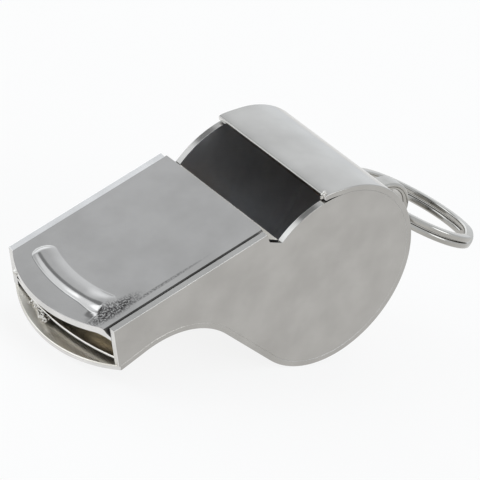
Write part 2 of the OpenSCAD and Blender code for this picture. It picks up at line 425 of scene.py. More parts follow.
# %% Finishes on the inside
# Sheet as it was rolled, in the windway: warmer, and painted brighter than outside as light in the
# shaded insides, with short waves that break its image.
plate_inside = nickel("nickel_plate_unbuffed_painted_lighter", "#E9E4DA", "#D6D0C4", 0.12, 0.26, 1.6, 0.012, 0.2)

# Inside the lip the sheet was rubbed to satin, so that what it reflects melts into an even pale sheen;
# its colour is painted paler than outside, as light in the shaded lip.
plate_satin = nickel("nickel_plate_satin_inside_the_lip_painted_lighter", "#E6E3DC", "#CFCBC1", 0.27, 0.34, 2.0, 0.015, 0.8)

# Deep in the chamber the nickel is thin and dull, and painted lighter than outside to lift the shade
# there, which still gives hardly more than an even dark grey.
plate_chamber = nickel("nickel_plate_dull_in_the_chamber_painted_lighter", "#D9DADB", "#CBCCCE", 0.4, 0.55, 1.6, 0.02, 0.3)

FINISHES = [plate_outside, plate_inside, plate_cut, plate_chamber, plate_satin]
print("finishes:", [finish.name for finish in (*FINISHES, plate_with_painted_shade, plate_wire, solder, seam_painted_shade)])

# %% [markdown]
# ## The side plates
# Two flat sheets are cut to the closed outline. Their top edges stay open to view beside the top
# plate, and their round edges frame the window. A Solidify modifier could thicken the outline, but
# the loft lets each edge have a radius of its own, large where the wheel could reach it. The far
# plate's top edge lies a little lower on its inner side, where the crowned top plate meets it.

# %% Side plates
NOTCH_LEAD = 0.35
NOTCH_H = 1.35
NOTCH_RUN = 0.25
SLOT_L = 1.65
EDGE_R = 0.4
PLATE_CROWN = 0.1
top_end = floor_tip.x - SLOT_L
notch_x = top_end - NOTCH_LEAD
neck_r_inside = NECK_R + STRIP_T

side_outline = [Vector((0, under_z(0) + STRIP_T / math.cos(math.radians(UNDER_A))))]
side_outline += arc(neck_c, neck_r_inside, 90 + UNDER_A, flank_a)
side_outline += arc(barrel_c, CHAMBER_R, flank_a - 180, FLOOR_TIP_A)
side_outline += [Vector((notch_x + NOTCH_RUN, -NOTCH_H)), Vector((notch_x, 0)), Vector((0, 0))]
last = len(side_outline) - 1
# An edge's weight is its share of the whole radius. The wheel reached outer edges better than inner ones.
corners = {0: 0.4, last: 0.4} | {i: 0.3 for i in range(last - 3, last)}


def cut_edges(seam, window, top, front):
    """Weights round the side plate: the seam with the strip, the window's free arc, the top and the mouth."""
    window_from = last - 3 - math.ceil((FLOOR_TIP_A - STRIP_END_A) / ARC_STEP)
    weights = {i: window if i >= window_from else seam for i in range(last - 1)}
    return weights | {last - 1: top, last: front}


outer_edges = cut_edges(seam=0.1, window=0.5, top=1.0, front=0.5)
near_inner_edges = cut_edges(seam=0.1, window=0.5, top=0.4, front=0.2)
far_inner_edges = cut_edges(seam=0.1, window=0.5, top=0.1, front=0.2)
for name, side, node in (("right_side_sheet", -1, "right_side_plate"),
                         ("left_side_sheet", 1, "left_side_plate")):
    levels = sorted((side * BODY_W / 2, side * INNER_HALF))
    loops = [[stand(p, y) for p in side_outline] for y in levels]
    if side > 0:
        for i in (last - 1, last):
            loops[0][i].z -= PLATE_CROWN
    rims = (outer_edges, near_inner_edges) if side < 0 else (far_inner_edges, outer_edges)
    sheet = loft(loops, flat_caps=True, finishes={last: CUT} if side < 0 else {last - 1: CUT, last: CUT},
                 rims=rims, along=corners)
    # Of the two many-sided caps, the one nearer the middle is the chamber's wall.
    inner_face = max(sheet.faces, key=lambda f: (len(f.verts) > 4, -side * f.calc_center_median().y))
    inner_face.material_index = CHAMBER
    finish_piece(name, sheet, "whistle", node, FINISHES, EDGE_R)

# %% [markdown]
# ## The wrapped strip
# One long strip makes the lower lip, the neck and the barrel, and its end stands a little off the
# barrel at the window. It could be a flat strip bent by modifiers, but then its corners would drift
# off the side plates. So each column of its mesh follows the side view, and only the first stretch
# changes with the width, because the lip is bowed.

# %% Barrel strip
STRIP_EDGE_R = 0.27
EDGE_LIFT = 0.22
LIFT_FROM_A = 74
COLUMNS = 40
LIP_ROWS = 4


def lifted(angle):
    """How far the strip's end stands off the barrel's circle, at an angle round its axis."""
    t = min(1, max(0, (angle - LIFT_FROM_A) / (STRIP_END_A - LIFT_FROM_A)))
    return EDGE_LIFT * t * t * (3 - 2 * t)


def strip_face(inset, front_x):
    """One face of the strip in the side view, a distance inset inside its outer face."""
    front = Vector((front_x, under_z(front_x) + inset / math.cos(math.radians(UNDER_A))))
    bend = arc(neck_c, NECK_R + inset, 90 + UNDER_A, flank_a)
    barrel = arc(barrel_c, BARREL_R - inset, flank_a - 180, STRIP_END_A)
    for i, p in enumerate(barrel):
        angle = flank_a - 180 + (STRIP_END_A - flank_a + 180) * i / (len(barrel) - 1)
        barrel[i] = p + lifted(angle) * unit(angle)
    return [front.lerp(bend[0], i / LIP_ROWS) for i in range(LIP_ROWS)] + bend + barrel


loops = []
for k in range(COLUMNS + 1):
    y = BODY_W * (k / COLUMNS - 0.5)
    front_x = bow_x(y, MOUTH_ARC_R, -MOUTH_BOW)
    outer = strip_face(0, front_x)
    inner = strip_face(STRIP_T, front_x)
    loops.append([stand(p, y) for p in outer + inner[::-1]])
n = len(loops[0]) // 2
rim = {i: 0.4 for i in range(n - 1)} | {i: 0.15 for i in range(n, 2 * n - 1)}
rim |= {n - 1: 0.5, 2 * n - 1: 0.5}
ends = {0: 1, n - 1: 0.8, n: 0.8, 2 * n - 1: 0.7}
# Inside, the barrel's part is dull and the lip's is satin, both painted lighter than outside.
in_barrel = math.ceil(abs(STRIP_END_A - flank_a + 180) / ARC_STEP)
finishes = {i: CHAMBER if i < n + in_barrel else SATIN for i in range(n, 2 * n - 1)}
finishes |= {n - 1: CUT, 2 * n - 1: CUT}
strip = loft(loops, finishes=finishes, rims=(rim, rim), along=ends)
finish_piece("wrapped_strip", strip, "whistle", "barrel_strip", FINISHES, STRIP_EDGE_R)

# %% [markdown]
# ## Geometry Nodes for what follows a rule
# Four forms on this whistle follow a rule: the bite ridge is a smooth bead along an arc, the split
# ring's wire climbs from one level to the next as it goes round, the lanyard loop is strip swept
# along a bent line, and the cork is a ball with small dents. Each could be shaped once by hand, but
# a node tree with named inputs lets a learner change a size and look.

# %% Helpers for Geometry Nodes
def new_tree(name, floats):
    """A geometry tree with named number inputs and a material. Returns the tree, its input node and its
    output node."""
    tree = bpy.data.node_groups.new(name, "GeometryNodeTree")
    tree.interface.new_socket("Geometry", in_out="INPUT", socket_type="NodeSocketGeometry")
    for label in floats:
        tree.interface.new_socket(label, in_out="INPUT", socket_type="NodeSocketFloat")
    tree.interface.new_socket("Material", in_out="INPUT", socket_type="NodeSocketMaterial")
    tree.interface.new_socket("Geometry", in_out="OUTPUT", socket_type="NodeSocketGeometry")
    return tree, tree.nodes.new("NodeGroupInput"), tree.nodes.new("NodeGroupOutput")


def end_tree(tree, geometry, given, result, **which):
    """Ends a tree with plain mesh in the material that it was given."""
    single = add(tree, "GeometryNodeRealizeInstances", [geometry])
    coated = add(tree, "GeometryNodeSetMaterial",
                 {"Geometry": single, "Material": given.outputs["Material"], **which})
    tree.links.new(coated.outputs[0], result.inputs[0])


def use_tree(piece, tree, values):
    """Adds the tree as a modifier and sets its inputs by their identifiers."""
    modifier = piece.modifiers.new(tree.name, "NODES")
    modifier.node_group = tree
    for item in tree.interface.items_tree:
        if item.in_out == "INPUT" and item.name in values:
            modifier[item.identifier] = values[item.name]


def host(name, points=(), edges=()):
    """An object that carries a tree, with the points that the tree starts from."""
    data = bpy.data.meshes.new(name)
    data.from_pydata([tuple(p) for p in points], list(edges), [])
    return new_object(name, data)


# %% [markdown]
# ## The top plate and its bite ridge
# The plate's near edge is bent down inside the side plate, and both edges are soldered there. The
# teeth hold it behind a ridge pressed up from below, steep in front, long behind and highest at its
# near end. A bead laid on the plate would show a seam round it, so the tree lifts the points of the
# sheet itself, on both faces alike, by how far each is from the ridge's arc.

# %% The bite ridge's tree: how far a point is from the ridge's arc
MATH = "ShaderNodeMath"
ridge_tree, given, result = new_tree(
    "pressed_ridge", ["Ridge Centre X", "Ridge Arc Radius", "Near Half Angle", "Far Half Angle",
                      "Front Width", "Near Front Width", "Back Width", "Ridge Height", "Near Height",
                      "End Bluntness", "Near Bluntness", "Roundness"])
where = add(ridge_tree, "ShaderNodeSeparateXYZ", [add(ridge_tree, "GeometryNodeInputPosition")])
across = where.outputs["Y"]
arc_r = given.outputs["Ridge Arc Radius"]
# The arc's point nearest to each point of the sheet: its angle is held between the ridge's two ends.
ahead = add(ridge_tree, MATH, [given.outputs["Ridge Centre X"], where.outputs["X"]], operation="SUBTRACT")
angle = add(ridge_tree, MATH, [across, ahead], operation="ARCTAN2")
near_end = add(ridge_tree, MATH, [given.outputs["Near Half Angle"], -1.0], operation="MULTIPLY")
kept = add(ridge_tree, "ShaderNodeClamp",
           {"Value": angle, "Min": near_end, "Max": given.outputs["Far Half Angle"]})
arc_x, arc_y = [
    add(ridge_tree, MATH, [add(ridge_tree, MATH, [kept], operation=share), arc_r], operation="MULTIPLY")
    for share in ("COSINE", "SINE")]
# How far the sheet's point lies in front of the arc, and how far past one of its ends, both squared.
gap_x = add(ridge_tree, MATH, [ahead, arc_x], operation="SUBTRACT")
gap_y = add(ridge_tree, MATH, [across, arc_y], operation="SUBTRACT")
gap_2, from_centre_2 = [
    add(ridge_tree, MATH, [x, x, add(ridge_tree, MATH, [y, y], operation="MULTIPLY")],
        operation="MULTIPLY_ADD")
    for x, y in ((gap_x, gap_y), (ahead, across))]
from_centre = add(ridge_tree, MATH, [from_centre_2], operation="SQRT")
in_front = add(ridge_tree, MATH, [from_centre, arc_r], operation="SUBTRACT")
in_front_2 = add(ridge_tree, MATH, [in_front, in_front], operation="MULTIPLY")
past_end_2 = add(ridge_tree, MATH, [gap_2, in_front_2], operation="SUBTRACT")
past_end_2 = add(ridge_tree, MATH, [past_end_2, 0.0], operation="MAXIMUM")
print("ridge tree measures with", len(ridge_tree.nodes), "nodes")

# %% The bite ridge's tree: how wide and high the ridge is there
NEAR_PART = 0.4
BLEND = 0.12
changed_until = add(ridge_tree, MATH, [near_end, NEAR_PART], operation="MULTIPLY")
front_w, height, bluntness = [
    add(ridge_tree, "ShaderNodeMapRange",
        {"Value": kept, "From Min": near_end, "From Max": changed_until, "To Min": given.outputs[near],
         "To Max": given.outputs[usual]}, interpolation_type="SMOOTHSTEP")
    for near, usual in (("Near Front Width", "Front Width"), ("Near Height", "Ridge Height"),
                        ("Near Bluntness", "End Bluntness"))]
# The way past an end counts for more, which makes the ends blunt.
gap = add(ridge_tree, MATH, [past_end_2, bluntness, in_front_2], operation="MULTIPLY_ADD")
gap = add(ridge_tree, MATH, [gap], operation="SQRT")
no_less = add(ridge_tree, MATH, [gap, 0.001], operation="MAXIMUM")
# lean is one straight in front of the arc and zero straight behind it, and blends the two widths.
lean = add(ridge_tree, MATH, [in_front, no_less], operation="DIVIDE")
lean = add(ridge_tree, MATH, [lean, 0.5, 0.5], operation="MULTIPLY_ADD")
back_w = given.outputs["Back Width"]
wider_in_front = add(ridge_tree, MATH, [front_w, back_w], operation="SUBTRACT")
width = add(ridge_tree, MATH, [lean, wider_in_front, back_w], operation="MULTIPLY_ADD")
# The bead is one on the arc and falls to nothing at its width, with a soft foot.
fall = add(ridge_tree, MATH, [gap, width], operation="DIVIDE")
fall = add(ridge_tree, MATH, [fall, given.outputs["Roundness"]], operation="POWER")
bead = add(ridge_tree, MATH, [1.0, fall], operation="SUBTRACT")
bead = add(ridge_tree, MATH, [bead, 0.0, BLEND], operation="SMOOTH_MAX")
rise = add(ridge_tree, MATH, [bead, height], operation="MULTIPLY")
print("with the ridge's width and height it has", len(ridge_tree.nodes))

# %% The bite ridge's tree: the sheet is lifted
lift = add(ridge_tree, "ShaderNodeCombineXYZ", {"Z": rise})
raised = add(ridge_tree, "GeometryNodeSetPosition", {"Geometry": given.outputs["Geometry"], "Offset": lift})
upper = add(ridge_tree, "FunctionNodeCompare",
            {"A": add(ridge_tree, "GeometryNodeInputMaterialIndex"), "B": BUFFED},
            data_type="INT", operation="EQUAL")
end_tree(ridge_tree, raised, given, result, Selection=upper)
print("ridge tree has", len(ridge_tree.nodes), "nodes in all")

# %% Top plate
TOP_T = 1
FOLD_FROM = 8.0
FOLD_R = 0.8
FOLD_A = 80
SEAM_SHADE_BELOW = -0.3
SEAM_DEPTH = 1.35
SEAM_T = 0.6
UNDER_BEND_FROM = 7.4
UNDER_BEND_CELLS = 12
PLATE_ARC_R = 16.3
RIDGE_CREST = 3.97
RIDGE_FRONT_W = 1.12
RIDGE_BACK_W = 1.9
RIDGE_H = 0.42
RIDGE_ARC_R = 20
RIDGE_SPAN = 11.6
RIDGE_FAR_MORE = 0.5
RIDGE_NEAR_GAIN = 1.5
RIDGE_CELL = 0.07
RIDGE_ROWS_AHEAD = 1.6
RIDGE_ROWS_BEHIND = 1.25
BACK_CELLS = 8
ACROSS = 150
PLATE_LAP = 0.04
PLATE_EDGE_R = 0.22
plate_half = INNER_HALF + PLATE_LAP


def spread(points, count):
    """Points at even steps along a line of points."""
    ends = [0]
    for a, b in zip(points, points[1:]):
        ends.append(ends[-1] + (b - a).length)
    spaced = []
    for i in range(count + 1):
        s = ends[-1] * i / count
        k = max(1, next((j for j, e in enumerate(ends) if e >= s - 1e-9), len(ends) - 1))
        spaced.append(points[k - 1].lerp(points[k], (s - ends[k - 1]) / (ends[k] - ends[k - 1])))
    return spaced


near_bend = [Vector((0, 0))] + arc(Vector((FOLD_FROM, -FOLD_R)), FOLD_R, 90, 90 - FOLD_A)
near_bend += [Vector((plate_half, -SEAM_DEPTH))]
far_corner = Vector((plate_half, 0))
far_down = ACROSS // 16
far_bend = spread([Vector((0, 0)), far_corner], ACROSS // 2 - far_down)
far_bend += spread([far_corner, Vector((plate_half, -SEAM_DEPTH))], far_down)[1:]
under_bend = [Vector((0, -TOP_T))]
for i in range(UNDER_BEND_CELLS + 1):
    under_y = UNDER_BEND_FROM + (plate_half - UNDER_BEND_FROM) * i / UNDER_BEND_CELLS
    droop = (SEAM_DEPTH + SEAM_T - TOP_T) * (i / UNDER_BEND_CELLS) ** 2
    under_bend.append(Vector((under_y, -TOP_T - droop)))


def channel_face(near_side, far_side):
    """One face of the channel's section from its near seam to its far one."""
    near = [Vector((-p.x, p.y)) for p in near_side]
    return near[:0:-1] + far_side


near_bend = spread(near_bend, ACROSS // 2)
under_bend = spread(under_bend, ACROSS // 2)
outer = channel_face(near_bend, far_bend)
inner = channel_face(under_bend, under_bend)
section = outer + inner[::-1]

ahead_of_crest = RIDGE_ROWS_AHEAD * RIDGE_FRONT_W
ridge_from = RIDGE_CREST - ahead_of_crest
ridge_cells = math.ceil((ahead_of_crest + RIDGE_ROWS_BEHIND * RIDGE_BACK_W) / RIDGE_CELL)
plate_l = top_end + MOUTH_BOW
marks = [0, ridge_from / 2]
marks += [ridge_from + RIDGE_CELL * i for i in range(ridge_cells + 1)]
marks += [marks[-1] + (plate_l - marks[-1]) * i / BACK_CELLS for i in range(1, BACK_CELLS + 1)]
loops = []
for mark in marks:
    loop = []
    for y, z in section:
        front_x = bow_x(y, PLATE_ARC_R, -MOUTH_BOW)
        sag = PLATE_CROWN * (y / INNER_HALF) ** 2
        loop.append(Vector((front_x + (top_end - front_x) * mark / plate_l, y, z - sag)))
    loops.append(loop)
n = len(outer)
rim = {i: 1 for i in range(n - 1)} | {i: 0.5 for i in range(n, 2 * n - 1)}
inside = {i: UNBUFFED for i in range(n, 2 * n - 1)}
# Below this depth the near bend takes the painted shade of the seam.
inside |= {i: SEAM_SHADE for i in range(n - 1) if outer[i].x < 0 and outer[i].y < SEAM_SHADE_BELOW}
plate = loft(loops, finishes=inside, cap_finish=CUT, rims=(rim, rim), along={n - 1 - far_down: 0.2})
PLATE_FINISHES = [plate_with_painted_shade, plate_inside, plate_cut, seam_painted_shade]
top_plate = smooth_object("pressed_top_plate", plate, PLATE_FINISHES)
use_tree(top_plate, ridge_tree, {
    "Ridge Centre X": RIDGE_CREST - MOUTH_BOW + RIDGE_ARC_R,
    "Ridge Arc Radius": RIDGE_ARC_R,
    "Near Half Angle": math.asin(RIDGE_SPAN / 2 / RIDGE_ARC_R),
    "Far Half Angle": math.asin((RIDGE_SPAN / 2 + RIDGE_FAR_MORE) / RIDGE_ARC_R),
    "Front Width": RIDGE_FRONT_W,
    "Near Front Width": RIDGE_NEAR_GAIN * RIDGE_FRONT_W,
    "Back Width": RIDGE_BACK_W,
    "Ridge Height": RIDGE_H,
    "Near Height": RIDGE_NEAR_GAIN * RIDGE_H,
    "End Bluntness": 2.0,
    "Near Bluntness": 5.0,
    "Roundness": 2.3,
    "Material": plate_with_painted_shade,
})
round_edges(top_plate, PLATE_EDGE_R)
settle(top_plate, "whistle", "top_plate")

# %% [markdown]
# ## The windway floor
# A sheet inside the mouth slopes up to the window and curls down round the chamber. The air leaves
# between its sharp tip and the top plate. A plain slanted plate would do for the view into the
# mouth, but the window shows the tip, so the loft has both the slope and the curl. No wheel reaches
# it, so it keeps the finish of rolled sheet.

# %% Windway floor
FLOOR_T = 0.6
FLOOR_FRONT_T = 0.32
FLOOR_DROP = 4.6
SLOT_DROP = 2.5
FLOOR_BACK = 1.7
FLOOR_ARC_R = 36
FLOOR_EDGE_R = 0.12
SLOPE_CELLS = 6
CURL_CELLS = 24
SEARCH_STEP_A = 0.05
slope = (FLOOR_DROP - SLOT_DROP) / floor_tip.x
seat_a = flank_a + 180 - math.degrees(math.acos(CHAMBER_R / (CHAMBER_R + FLOOR_T)))


def floor_z(x):
    return slope * x - FLOOR_DROP


def low_curl(angle):
    """A point on the lower face of the curl round the chamber."""
    return barrel_c + (CHAMBER_R + FLOOR_T) * unit(angle)


# The lower face turns from slope to curl where the two meet, and small steps find that angle.
under_tip_a = FLOOR_TIP_A
while floor_z(low_curl(under_tip_a).x) - FLOOR_T < low_curl(under_tip_a).y:
    under_tip_a += SEARCH_STEP_A
under_tip = low_curl(under_tip_a)
loops = []
for k in range(COLUMNS + 1):
    y = 2 * INNER_HALF * (k / COLUMNS - 0.5)
    front_x = bow_x(y, FLOOR_ARC_R, FLOOR_BACK - MOUTH_BOW)
    top = [Vector((front_x, floor_z(front_x))).lerp(floor_tip, i / SLOPE_CELLS) for i in range(SLOPE_CELLS)]
    low = [Vector((front_x, floor_z(front_x) - FLOOR_FRONT_T)).lerp(under_tip, i / SLOPE_CELLS)
           for i in range(SLOPE_CELLS)]
    for i in range(CURL_CELLS + 1):
        t = i / CURL_CELLS
        top.append(barrel_c + CHAMBER_R * unit(FLOOR_TIP_A + (seat_a - FLOOR_TIP_A) * t))
        low.append(low_curl(under_tip_a + (seat_a - under_tip_a) * t))
    loops.append([stand(p, y) for p in top + low[::-1]])
n = len(loops[0]) // 2
edges = {0: 1, 2 * n - 1: 1, SLOPE_CELLS: 0.3}
# The windway floor is painted lighter than the outside sheets, as light in its shade.
finishes = {i: UNBUFFED for i in range(2 * n - 1)} | {2 * n - 1: CUT}
floor_sheet = loft(loops, finishes=finishes, cap_finish=UNBUFFED, along=edges)
finish_piece("windway_floor_sheet", floor_sheet, "whistle", "windway_floor", FINISHES,
             FLOOR_EDGE_R)

# %% [markdown]
# ## Solder
# The sheets are soldered from inside, and a little solder stays in the mouth's far corner and at
# the window's near corner. Such blobs could be sculpted, but a rule is easier to place again: each
# spot is a row of small lumps, round meshes pushed in and out by noise, with a fixed seed so that
# the same lumps come out each time.

# %% Solder lumps
LUMP_STRAY = 0.3
LUMP_STRETCH = (0.6, 1.3)
LUMP_SWELL = 0.45
SWELLS_PER_RADIUS = 1.7


def solder_row(name, start, end, count, size, seed):
    """Lumps of about the given size from one point of the whistle's frame to another."""
    chance = random.Random(seed)
    mesh = bmesh.new()
    for i in range(count):
        middle = Vector(start).lerp(Vector(end), i / max(1, count - 1))
        middle += Vector([chance.uniform(-LUMP_STRAY, LUMP_STRAY) * size for _ in range(3)])
        stretch = Vector([size * chance.uniform(*LUMP_STRETCH) for _ in range(3)])
        lump = bmesh.ops.create_icosphere(mesh, subdivisions=4, radius=1)["verts"]
        for vert in lump:
            swell = 1 + LUMP_SWELL * noise.noise(vert.co * SWELLS_PER_RADIUS + middle)
            vert.co = middle + Vector([a * b * swell for a, b in zip(vert.co, stretch)])
    return finish_piece(name, mesh, "whistle", None, [solder])


solder_row("solder_under_the_plate", (-1.2, 7.2, -1.25), (-2.2, 2.3, -1.2), 13, 0.3, 3)
solder_row("solder_on_the_lip", (-1.0, 3.4, -5.9), (-1.5, 1.9, -5.0), 5, 0.42, 5)
solder_row("solder_behind_the_lip", (-0.4, 5.8, -5.7), (-0.9, 3.4, -5.9), 6, 0.4, 8)
solder_row("solder_at_the_window", (31.45, -9.55, 0.05), (31.95, -9.5, 0.3), 4, 0.26, 4)

# %% [markdown]
# ## Bent wire and strip
# The lanyard loop and the split ring are both flat stock with rounded edges, bent along a line. A
# curve with a bevel depth would give round wire, so one tree sweeps a rounded rectangle along any
# curve. A second tree draws the ring's line by rule: two turns less a gap, flat on each level, with
# one short step between them.

# %% The sweeping tree
sweep_tree, given, result = new_tree("sweep_flat_stock", ["Width", "Thickness", "Edge Radius"])
stock = add(sweep_tree, "GeometryNodeCurvePrimitiveQuadrilateral",
            {"Width": given.outputs["Width"], "Height": given.outputs["Thickness"]})
rounded = add(sweep_tree, "GeometryNodeFilletCurve",
              {"Curve": stock, "Radius": given.outputs["Edge Radius"], "Limit Radius": True,
               "Count": 4}, mode="POLY")
line = add(sweep_tree, "GeometryNodeSetCurveNormal", {"Curve": given.outputs["Geometry"]}, mode="Z_UP")
swept = add(sweep_tree, "GeometryNodeCurveToMesh",
            {"Curve": line, "Profile Curve": rounded, "Fill Caps": True})
end_tree(sweep_tree, swept, given, result)
print("sweeping tree has", len(sweep_tree.nodes), "nodes")


def sweep_along(tree, curve, given):
    """Puts the sweeping tree into another tree, with its sizes passed on."""
    sweep = add(tree, "GeometryNodeGroup", node_tree=sweep_tree)
    tree.links.new(curve, sweep.inputs["Geometry"])
    for label in ("Width", "Thickness", "Edge Radius", "Material"):
        tree.links.new(given.outputs[label], sweep.inputs[label])
    return sweep.outputs[0]


# %% The ring's line
ring_tree, given, result = new_tree(
    "split_ring_coils",
    ["Middle Radius", "Turned Angle", "Coil Pitch", "Step Start", "Step End", "Steps", "Width", "Thickness",
     "Edge Radius"])
straight = add(ring_tree, "GeometryNodeCurvePrimitiveLine")
spaced = add(ring_tree, "GeometryNodeResampleCurve", {"Curve": straight, "Count": given.outputs["Steps"]})
share = add(ring_tree, "GeometryNodeSplineParameter").outputs["Factor"]
turned = add(ring_tree, MATH, [share, given.outputs["Turned Angle"]], operation="MULTIPLY")
level = add(ring_tree, "ShaderNodeMapRange",
            {"Value": turned, "From Min": given.outputs["Step Start"], "From Max": given.outputs["Step End"],
             "To Min": -0.5, "To Max": 0.5}, interpolation_type="SMOOTHSTEP")
cosine = add(ring_tree, MATH, [turned], operation="COSINE")
sine = add(ring_tree, MATH, [turned], operation="SINE")
x, y, z = [
    add(ring_tree, MATH, [part, given.outputs[size]], operation="MULTIPLY")
    for part, size in ((cosine, "Middle Radius"), (sine, "Middle Radius"), (level, "Coil Pitch"))]
point = add(ring_tree, "ShaderNodeCombineXYZ", [x, y, z])
coiled = add(ring_tree, "GeometryNodeSetPosition", {"Geometry": spaced, "Position": point})
end_tree(ring_tree, sweep_along(ring_tree, coiled.outputs[0], given), given, result)
print("ring tree has", len(ring_tree.nodes), "nodes")

# %% Split ring
LOOP_A = 20.5
LOOP_T = 0.85
LOOP_H = 8
LOOP_REACH = 7.7
RING_R = 8.5
WIRE_W = 1.16
WIRE_T = 0.76
COIL_GAP = 0.1
RING_CLEAR = 0.25
RING_SEAT_L = 2.15
RING_DROOP_A = 23.6
RING_TRIM = 0.02
RING_TWIST_A = -25
WIRE_EDGE_R = 0.24
ring_mid_r = RING_R - WIRE_W / 2
coil_pitch = WIRE_T + COIL_GAP
wire_reach = math.hypot(WIRE_W, 2 * WIRE_T + COIL_GAP) / 2
pivot_rise = LOOP_H / 2 - LOOP_T - wire_reach - RING_CLEAR
pivot = barrel_c + (BARREL_R + RING_SEAT_L) * unit(-LOOP_A) + pivot_rise * unit(90 - LOOP_A)
ring_a = -LOOP_A - RING_DROOP_A
ring_c = pivot + ring_mid_r * unit(ring_a)
split_ring = host("coiled_split_ring")
use_tree(split_ring, ring_tree, {
    "Middle Radius": ring_mid_r - RING_TRIM,
    "Turned Angle": math.radians(678),
    "Coil Pitch": coil_pitch,
    "Step Start": math.radians(320),
    "Step End": math.radians(359),
    "Steps": 288.0,
    "Width": WIRE_W,
    "Thickness": WIRE_T,
    "Edge Radius": WIRE_EDGE_R,
    "Material": plate_wire,
})
ring_place = (TO_ROW @ Matrix.Translation((ring_c.x, 0, ring_c.y))
              @ Matrix.Rotation(math.radians(-ring_a), 4, "Y")
              @ Matrix.Rotation(math.radians(RING_TWIST_A), 4, "Z"))
settle(split_ring, "ring", "split_ring", ring_place)

# %% Lanyard loop
LOOP_W = 2.2
LOOP_EDGE_R = 0.3
LOOP_ROOT = 0.12
mid_h = (LOOP_H - LOOP_T) / 2
bend_x = BARREL_R + LOOP_REACH - LOOP_H / 2
root_x = math.sqrt(BARREL_R ** 2 - mid_h ** 2) - LOOP_ROOT
path = [Vector((root_x, -mid_h)), Vector((bend_x, -mid_h))]
path += arc(Vector((bend_x, 0)), mid_h, -90, 90)[1:-1]
path += [Vector((bend_x, mid_h)), Vector((root_x, mid_h))]
print("loop path points", len(path))
eye_tree, given, result = new_tree("bent_eye", ["Width", "Thickness", "Edge Radius"])
drawn = add(eye_tree, "GeometryNodeMeshToCurve", {"Mesh": given.outputs["Geometry"]})
end_tree(eye_tree, sweep_along(eye_tree, drawn.outputs[0], given), given, result)
eye = host("lanyard_eye", [(p.x, p.y, 0) for p in path], [(i, i + 1) for i in range(len(path) - 1)])
use_tree(eye, eye_tree, {"Width": LOOP_T, "Thickness": LOOP_W, "Edge Radius": LOOP_EDGE_R,
                         "Material": plate_wire})
eye_place = (TO_ROW @ Matrix.Translation((barrel_c.x, 0, barrel_c.y))
             @ Matrix.Rotation(math.radians(LOOP_A), 4, "Y") @ Matrix.Rotation(math.radians(90), 4, "X"))
settle(eye, "whistle", "lanyard_loop", eye_place)

# %% [markdown]
# ## The cork ball
# The pea is turned from cork, and is the only thing on the whistle that isn't metal. The specks could
# all be paint, but cork breaks out in small dents as it is turned, so the tree pushes the ball's
# points inwards by a noise, and the material only adds the colour of the grains.

# %% Cork
# Cork's own cells are hundredths of a millimetre, too fine to show, so its coarser grains are drawn.
CORK_GRAIN_MM = 0.7
CORK_SPECK_MM = 0.9
CORK_PIT_MM = 0.08


def cork(name):
    """Turned cork: warm brown grains with dark specks between them, and no gloss at all."""
    material, tree = new_material(name)
    place = add(tree, "ShaderNodeTexCoord").outputs["Object"]
    grains = add(tree, "ShaderNodeTexVoronoi", {"Vector": place, "Scale": 1 / (CORK_GRAIN_MM * MM)})
    specks = add(tree, "ShaderNodeTexNoise",
                 {"Vector": place, "Scale": 1 / (CORK_SPECK_MM * MM), "Detail": 4})
    tone = add(tree, "ShaderNodeMix",
               {"Factor": grains.outputs["Distance"], "A": linear("#C79C66"), "B": linear("#A87A48")},
               data_type="RGBA")
    dark = add(tree, "ShaderNodeMapRange",
               {"Value": specks.outputs["Fac"], "From Min": 0.62, "From Max": 0.7})
    spotted = add(tree, "ShaderNodeMix",
                  {"Factor": dark.outputs[0], "A": tone.outputs["Result"], "B": linear("#5E3B20")},
                  data_type="RGBA")
    bump = add(tree, "ShaderNodeBump",
               {"Height": specks.outputs["Fac"], "Distance": CORK_PIT_MM * MM, "Strength": 1.0})
    shader = add(tree, "ShaderNodeBsdfPrincipled",
                 {"Base Color": spotted.outputs["Result"], "Roughness": 0.85, "Normal": bump.outputs[0]})
    add(tree, "ShaderNodeOutputMaterial", {"Surface": shader.outputs[0]})
    return material


cork_tree, given, result = new_tree("turned_cork_ball", ["Radius", "Dent Size", "Dent Depth"])
ball = add(cork_tree, "GeometryNodeMeshIcoSphere", {"Radius": given.outputs["Radius"], "Subdivisions": 6})
often = add(cork_tree, MATH, [1.0, given.outputs["Dent Size"]], operation="DIVIDE")
dents = add(cork_tree, "ShaderNodeTexNoise", {"Scale": often, "Detail": 2.0})
# The noise hardly ever passes this value, so nearly every point goes inwards.
NOISE_TOP = 0.75
depth = add(cork_tree, MATH, [dents, NOISE_TOP], operation="SUBTRACT")
depth = add(cork_tree, MATH, [depth, given.outputs["Dent Depth"]], operation="MULTIPLY")
outwards = add(cork_tree, "GeometryNodeInputNormal")
push = add(cork_tree, "ShaderNodeVectorMath", {0: outwards, "Scale": depth}, operation="SCALE")
dented = add(cork_tree, "GeometryNodeSetPosition", {"Geometry": ball, "Offset": push})
smooth = add(cork_tree, "GeometryNodeSetShadeSmooth", {"Geometry": dented})
end_tree(cork_tree, smooth, given, result)
print("cork tree has", len(cork_tree.nodes), "nodes")

# %% Cork ball
PEA_D = 10.4
pea = host("cork_ball")
use_tree(pea, cork_tree, {"Radius": PEA_D / 2, "Dent Size": 1.1, "Dent Depth": 0.3,
                          "Material": cork("turned_cork")})
pea_low, pea_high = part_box("cork_pea")
pea_place = Matrix.Translation((pea_low + pea_high) / 2) @ Matrix.Scale(MM, 4)
settle(pea, "whistle", "cork_pea", pea_place)

